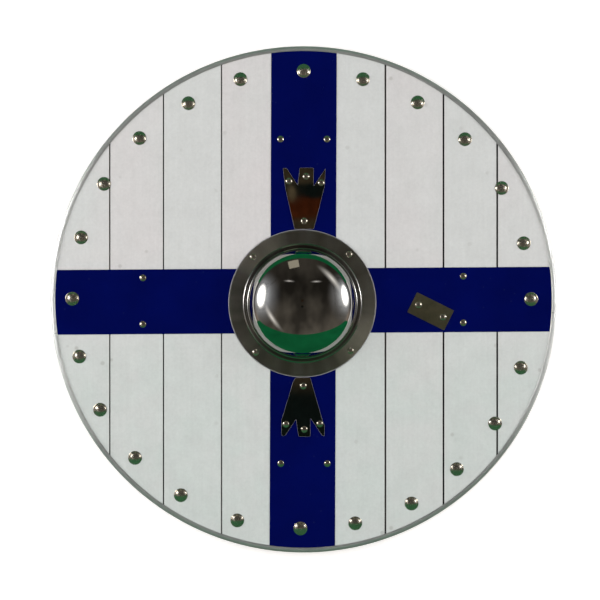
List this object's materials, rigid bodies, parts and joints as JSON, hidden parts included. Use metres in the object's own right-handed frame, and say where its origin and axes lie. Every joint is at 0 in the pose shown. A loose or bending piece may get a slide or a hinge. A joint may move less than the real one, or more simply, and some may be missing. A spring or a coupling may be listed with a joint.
{
  "type": "wooden round shield",
  "caption": "Round shield of painted vertical boards with a blue cross of strips, hollow steel boss over a hand hole, folded metal rim, domed rivets and a wooden grip behind.",
  "frame": {"origin": "on the surface that the shield lies on, below the middle of the round board", "axes": "+Z out of the face, up as it lies on its back; +Y to the top of the face; +X to the right of the face"},
  "size_m": [0.61, 0.61, 0.0854],
  "materials": {
    "painted_boards": "matt off-white paint over vertical boards, faint brush marks, fine scuffs",
    "blue_strips": "smooth very dark navy, softly glossy",
    "bare_wood": "bare planed softwood, lightly oiled and worn at the grip",
    "rim_metal": "bright galvanised sheet, folded, lightly scuffed",
    "boss_steel": "mirror-polished dome and bead, satin spun flange",
    "fork_steel": "polished sheet with bright cut edges",
    "patch_steel": "dull grey-brown sheet",
    "rivet_metal": "plated domes, bright"
  },
  "bodies": {
    "root": {"plank_center_upper": "painted_boards", "plank_center_lower": "painted_boards", "plank_left_1": "painted_boards", "plank_left_2": "painted_boards", "plank_left_3": "painted_boards", "plank_left_4": "painted_boards", "plank_right_1": "painted_boards", "plank_right_2": "painted_boards", "plank_right_3": "painted_boards", "plank_right_4": "painted_boards", "cross_strip_upper": "blue_strips", "cross_strip_right": "blue_strips", "cross_strip_lower": "blue_strips", "cross_strip_left": "blue_strips", "grip_bar": "bare_wood", "batten_upper": "bare_wood", "batten_lower": "bare_wood", "rim_upper": "rim_metal", "rim_lower": "rim_metal", "boss": "boss_steel", "fork_plate_upper": "fork_steel", "fork_plate_lower": "fork_steel", "patch_plate": "patch_steel", "rim_rivet_01": "rivet_metal", "rim_rivet_02": "rivet_metal", "rim_rivet_03": "rivet_metal", "rim_rivet_04": "rivet_metal", "rim_rivet_05": "rivet_metal", "rim_rivet_06": "rivet_metal", "rim_rivet_07": "rivet_metal", "rim_rivet_08": "rivet_metal", "rim_rivet_09": "rivet_metal", "rim_rivet_10": "rivet_metal", "rim_rivet_11": "rivet_metal", "rim_rivet_12": "rivet_metal", "rim_rivet_13": "rivet_metal", "rim_rivet_14": "rivet_metal", "rim_rivet_15": "rivet_metal", "rim_rivet_16": "rivet_metal", "rim_rivet_17": "rivet_metal", "rim_rivet_18": "rivet_metal", "rim_rivet_19": "rivet_metal", "rim_rivet_20": "rivet_metal", "rim_rivet_21": "rivet_metal", "rim_rivet_22": "rivet_metal", "rim_rivet_23": "rivet_metal", "rim_rivet_24": "rivet_metal", "band_rivet_01": "rivet_metal", "band_rivet_02": "rivet_metal", "band_rivet_03": "rivet_metal", "band_rivet_04": "rivet_metal", "band_rivet_05": "rivet_metal", "band_rivet_06": "rivet_metal", "band_rivet_07": "rivet_metal", "band_rivet_08": "rivet_metal", "boss_rivet_01": "rivet_metal", "boss_rivet_02": "rivet_metal", "boss_rivet_03": "rivet_metal", "boss_rivet_04": "rivet_metal"}
  },
  "joints": []
}
